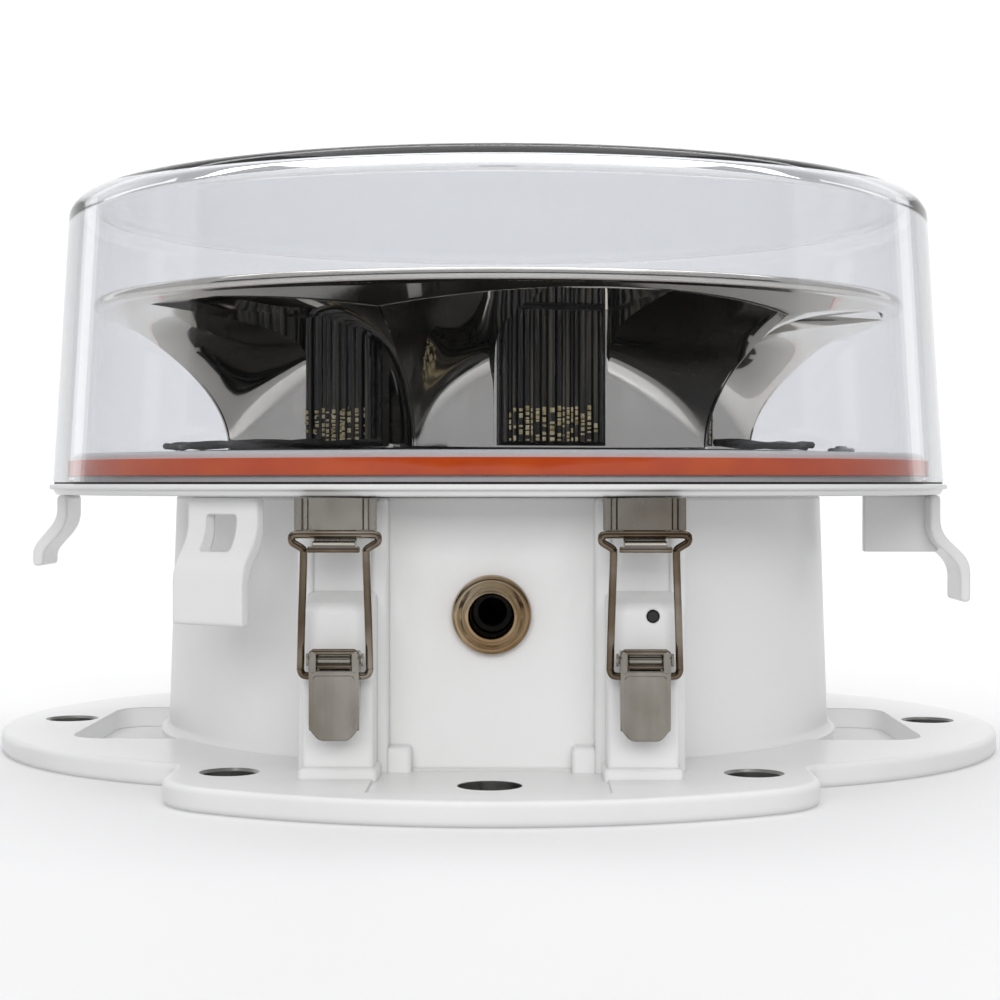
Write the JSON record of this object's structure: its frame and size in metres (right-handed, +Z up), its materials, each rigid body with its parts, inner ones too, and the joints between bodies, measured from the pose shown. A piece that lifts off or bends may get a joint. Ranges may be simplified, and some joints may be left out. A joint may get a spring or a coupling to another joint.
{
  "type": "led obstruction beacon",
  "caption": "Clear drum dome over a ring of chrome horn reflectors, on a hinged head clamped to a round cast base with a lobed bolting flange by wire-bail latches.",
  "frame": {"origin": "centre of the flange underside, on the axis of the round body", "axes": "+Z up along the dome axis, -Y to the front with the latches and cable gland, +X to the right seen from the front"},
  "size_m": [0.383, 0.409, 0.21],
  "materials": {
    "paint": "semi-gloss white powder coat",
    "chrome": "polished vacuum-metallised",
    "stainless": "polished stainless",
    "nickel": "nickel-plated brass, worn",
    "zinc": "zinc plated",
    "silicone": "orange silicone",
    "black_rubber": "matte black",
    "black_plastic": "satin black",
    "board": "solder-masked laminate",
    "copper": "wound and varnished",
    "led_lens": "glossy ribbed resin",
    "aluminium": "as extruded",
    "clear": "clear moulded acrylic"
  },
  "bodies": {
    "base": {"base_casting": "paint", "base_seal": "black_rubber", "boss_plug_screw": "black_plastic", "gland_body": "nickel", "gland_nut": "nickel", "gland_locknut": "nickel", "gland_seal": "black_rubber", "driver_carrier": "zinc", "driver_board": "board", "driver_transformer": "copper", "terminal_block": "black_plastic", "hinge_pin": "stainless", "left_latch_bracket": "stainless", "left_latch_rivet": "stainless", "left_lever_pin": "stainless", "right_latch_bracket": "stainless", "right_latch_rivet": "stainless", "right_lever_pin": "stainless"},
    "left_lever": {"left_latch_lever": "stainless"},
    "right_lever": {"right_latch_lever": "stainless"},
    "left_bail": {"left_latch_bail": "stainless"},
    "right_bail": {"right_latch_bail": "stainless"},
    "head": {"hinge_knuckle": "paint", "left_hinge_screw": "stainless", "right_hinge_screw": "stainless", "head_tray": "paint", "dome_gasket": "silicone", "dome": "clear", "front_guide_leg": "paint", "left_guide_leg": "paint", "right_guide_leg": "paint", "reflector_cap": "chrome", "cap_bolt": "stainless", "heat_sink_hub": "aluminium", "led_base_ring": "black_plastic", "harness_left": "black_rubber", "harness_right": "black_rubber", "ground_terminal": "zinc", "left_keeper": "stainless", "left_keeper_screw": "stainless", "right_keeper": "stainless", "right_keeper_screw": "stainless", "reflector_petal_1": "chrome", "led_board_1": "black_plastic", "led_lens_1": "led_lens", "reflector_petal_2": "chrome", "led_board_2": "black_plastic", "led_lens_2": "led_lens", "reflector_petal_3": "chrome", "led_board_3": "black_plastic", "led_lens_3": "led_lens", "reflector_petal_4": "chrome", "led_board_4": "black_plastic", "led_lens_4": "led_lens", "reflector_petal_5": "chrome", "led_board_5": "black_plastic", "led_lens_5": "led_lens", "reflector_petal_6": "chrome", "led_board_6": "black_plastic", "led_lens_6": "led_lens"}
  },
  "joints": [
    {"name": "head_hinge", "type": "hinge", "parent": "base", "child": "head", "pos_m": [0, 0.181, 0.097], "axis": [-1, 0, 0], "range_deg": [0, 75]},
    {"name": "left_lever_hinge", "type": "hinge", "parent": "base", "child": "left_lever", "pos_m": [-0.048, -0.1675, 0.046], "axis": [-1, 0, 0], "range_deg": [0, 150]},
    {"name": "left_bail_hinge", "type": "hinge", "parent": "left_lever", "child": "left_bail", "pos_m": [-0.048, -0.1675, 0.041], "axis": [-1, 0, 0], "range_deg": [-176, 0]},
    {"name": "right_lever_hinge", "type": "hinge", "parent": "base", "child": "right_lever", "pos_m": [0.048, -0.1675, 0.046], "axis": [-1, 0, 0], "range_deg": [0, 150]},
    {"name": "right_bail_hinge", "type": "hinge", "parent": "right_lever", "child": "right_bail", "pos_m": [0.048, -0.1675, 0.041], "axis": [-1, 0, 0], "range_deg": [-176, 0]}
  ],
  "couplings": [
    {"joint": "left_bail_hinge", "follows": "left_lever_hinge", "ratio": -1.1667},
    {"joint": "right_bail_hinge", "follows": "right_lever_hinge", "ratio": -1.1667}
  ]
}
